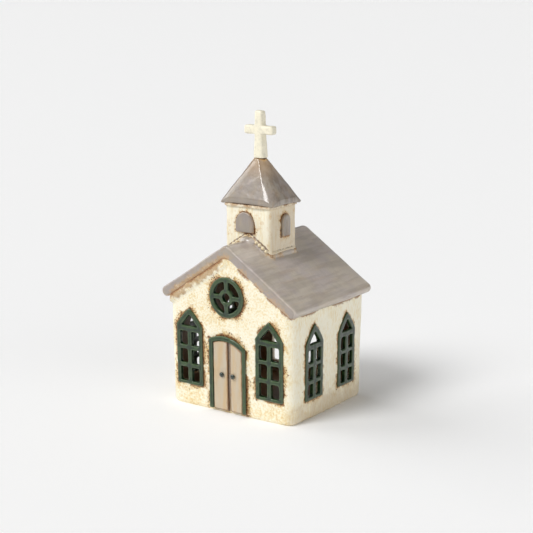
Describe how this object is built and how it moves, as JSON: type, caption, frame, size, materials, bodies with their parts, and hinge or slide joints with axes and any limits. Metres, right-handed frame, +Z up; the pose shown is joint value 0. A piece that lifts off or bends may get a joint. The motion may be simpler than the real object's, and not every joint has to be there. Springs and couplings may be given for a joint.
{
  "type": "chapel tealight holder",
  "caption": "Glazed earthenware chapel with pierced windows, a belfry, spire and cross, open at the back to take a tealight.",
  "frame": {"origin": "on the table, under the middle of the whole object", "axes": "+Z up, front wall with the door towards -Y, +X to the right seen from the front"},
  "size_m": [0.1113, 0.0954, 0.2011],
  "materials": {
    "cream_glaze": "satin cream glaze, speckled, breaking tan at edges",
    "cross_glaze": "glossy off-white glaze",
    "grey_glaze": "glossy warm grey glaze, breaking tan at edges",
    "green_glaze": "glossy dark green glaze, breaking grey-green on crests",
    "door_glaze": "satin tan and lilac-grey glaze",
    "knob_glaze": "glossy dark green-grey glaze",
    "bare_clay": "matt fired clay"
  },
  "bodies": {
    "root": {"floor_slab": "bare_clay", "front_wall": "cream_glaze", "back_wall": "cream_glaze", "left_wall": "cream_glaze", "right_wall": "cream_glaze", "front_window_left": "green_glaze", "front_window_right": "green_glaze", "right_window_front": "green_glaze", "right_window_rear": "green_glaze", "left_window_front": "green_glaze", "left_window_rear": "green_glaze", "round_window": "green_glaze", "door_frame": "green_glaze", "door_leaf_left": "door_glaze", "door_leaf_right": "door_glaze", "door_knob_left": "knob_glaze", "door_knob_right": "knob_glaze", "roof_slab_left": "grey_glaze", "roof_slab_right": "grey_glaze", "belfry_front": "cream_glaze", "belfry_back": "cream_glaze", "belfry_left": "cream_glaze", "belfry_right": "cream_glaze", "belfry_panel_front": "grey_glaze", "belfry_panel_right": "grey_glaze", "belfry_panel_back": "grey_glaze", "belfry_panel_left": "grey_glaze", "belfry_lip": "cream_glaze", "spire": "grey_glaze", "cross": "cross_glaze"}
  },
  "joints": []
}
